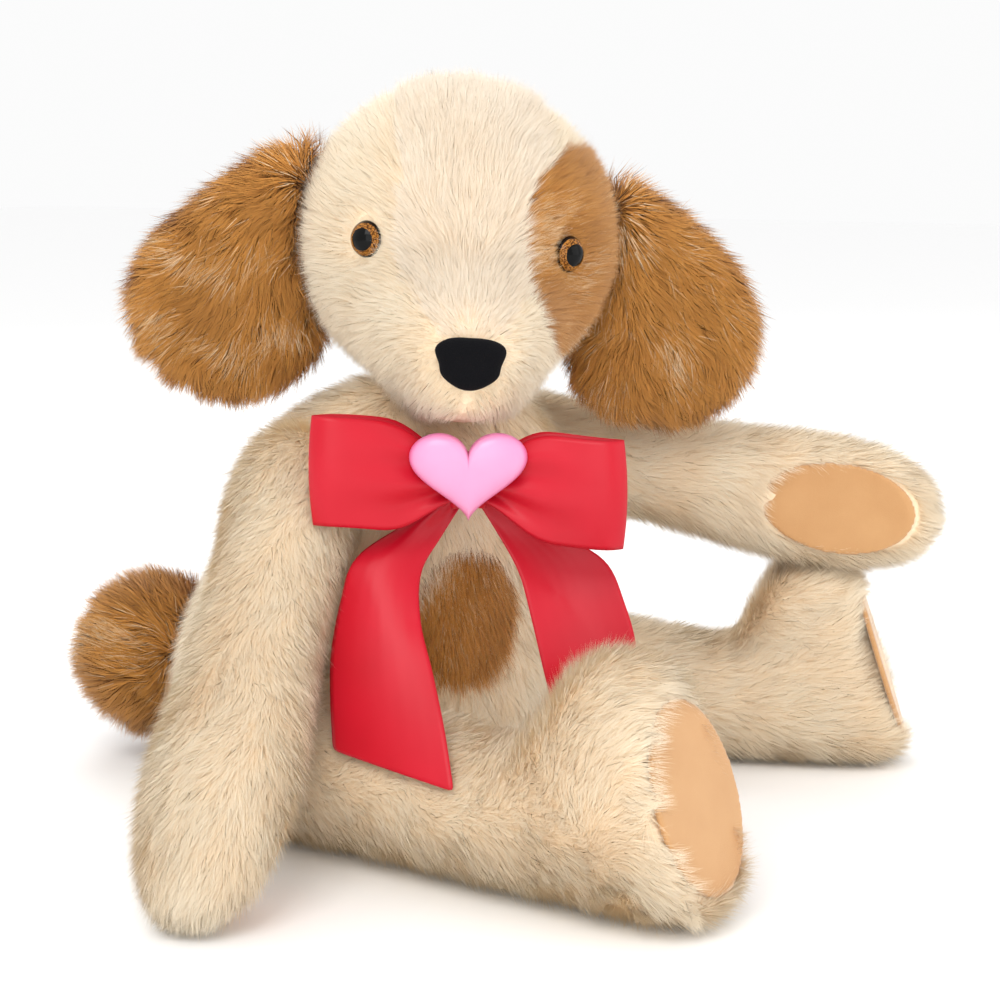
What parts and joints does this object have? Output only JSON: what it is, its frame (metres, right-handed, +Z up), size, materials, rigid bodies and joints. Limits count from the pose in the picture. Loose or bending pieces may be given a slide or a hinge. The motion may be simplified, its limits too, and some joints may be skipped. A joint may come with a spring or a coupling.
{
  "type": "plush dog",
  "caption": "Sitting jointed soft toy dog with a turning head, swinging limbs, flopping ears, a round tail and a ribbon bow.",
  "frame": {"origin": "on the floor, under the middle of the hips", "axes": "+Z up, -Y the way the body faces, +X to the dog's left"},
  "size_m": [0.3342, 0.3037, 0.2621],
  "materials": {
    "cream_plush": "short cream pile",
    "pale_plush": "paler cream pile",
    "golden_plush": "longer golden-brown pile with pale tips",
    "suede": "brushed suede cloth",
    "stuffing": "polyester fibre",
    "disc_board": "moulded",
    "washer_plastic": "moulded",
    "eye_plastic": "polished dome",
    "nose_flock": "black flock",
    "ribbon_satin": "red satin",
    "heart_satin": "pink satin"
  },
  "bodies": {
    "torso": {"belly_patch": "golden_plush", "body_cover_left": "cream_plush", "body_cover_right": "cream_plush", "body_stuffing": "stuffing", "bow_knot": "ribbon_satin", "bow_loop_left": "ribbon_satin", "bow_loop_right": "ribbon_satin", "bow_tail_left": "ribbon_satin", "bow_tail_right": "ribbon_satin", "heart": "heart_satin", "hip_body_disc_left": "disc_board", "hip_body_disc_right": "disc_board", "neck_body_disc": "disc_board", "neck_ribbon": "ribbon_satin", "shoulder_body_disc_left": "disc_board", "shoulder_body_disc_right": "disc_board"},
    "head": {"eye_left": "eye_plastic", "eye_patch": "golden_plush", "eye_right": "eye_plastic", "eye_washer_left": "washer_plastic", "eye_washer_right": "washer_plastic", "head_floor": "cream_plush", "head_gusset": "pale_plush", "head_side_left": "cream_plush", "head_side_right": "cream_plush", "head_stuffing": "stuffing", "neck_limb_disc": "disc_board", "neck_washer": "washer_plastic", "nose": "nose_flock", "nose_washer": "washer_plastic"},
    "ear_left": {"ear_back_left": "golden_plush", "ear_front_left": "golden_plush"},
    "ear_right": {"ear_back_right": "golden_plush", "ear_front_right": "golden_plush"},
    "tail": {"tail_cover": "golden_plush", "tail_stuffing": "stuffing"},
    "arm_left": {"arm_cover_left": "cream_plush", "arm_stuffing_left": "stuffing", "paw_pad_left": "suede", "shoulder_limb_disc_left": "disc_board", "shoulder_washer_left": "washer_plastic"},
    "arm_right": {"arm_cover_right": "cream_plush", "arm_stuffing_right": "stuffing", "paw_pad_right": "suede", "shoulder_limb_disc_right": "disc_board", "shoulder_washer_right": "washer_plastic"},
    "leg_left": {"foot_pad_left": "suede", "hip_limb_disc_left": "disc_board", "hip_washer_left": "washer_plastic", "leg_cover_left": "cream_plush", "leg_stuffing_left": "stuffing"},
    "leg_right": {"foot_pad_right": "suede", "hip_limb_disc_right": "disc_board", "hip_washer_right": "washer_plastic", "leg_cover_right": "cream_plush", "leg_stuffing_right": "stuffing"}
  },
  "joints": [
    {"name": "neck_turn", "type": "hinge", "parent": "torso", "child": "head", "pos_m": [0, -0.025, 0.16], "axis": [0, 0, 1], "continuous": true},
    {"name": "ear_flap_left", "type": "hinge", "parent": "head", "child": "ear_left", "pos_m": [0.04166, -0.07081, 0.20405], "axis": [-0.0294, -0.1243, 0.9918], "range_deg": [-30, 30], "stiffness_Nm_per_rad": 0.02},
    {"name": "ear_flap_right", "type": "hinge", "parent": "head", "child": "ear_right", "pos_m": [-0.03026, 0.0172, 0.21295], "axis": [-0.0294, -0.1243, 0.9918], "range_deg": [-30, 30], "stiffness_Nm_per_rad": 0.02},
    {"name": "tail_wag", "type": "hinge", "parent": "torso", "child": "tail", "pos_m": [-0.002, 0.084, 0.043], "axis": [0, 0, 1], "range_deg": [-20, 20], "stiffness_Nm_per_rad": 0.02},
    {"name": "shoulder_right", "type": "hinge", "parent": "torso", "child": "arm_right", "pos_m": [-0.061, -0.006, 0.1255], "axis": [-0.9388, 0.0303, 0.3432], "range_deg": [-85, 0]},
    {"name": "shoulder_left", "type": "hinge", "parent": "torso", "child": "arm_left", "pos_m": [0.061, -0.006, 0.1255], "axis": [-0.9152, -0.4031, 0], "range_deg": [0, 55]},
    {"name": "hip_right", "type": "hinge", "parent": "torso", "child": "leg_right", "pos_m": [-0.067, 0, 0.031], "axis": [-0.9994, 0.0349, 0], "range_deg": [-80, 0]},
    {"name": "hip_left", "type": "hinge", "parent": "torso", "child": "leg_left", "pos_m": [0.067, 0, 0.031], "axis": [-0.9063, -0.4226, 0], "range_deg": [-80, 0]}
  ]
}
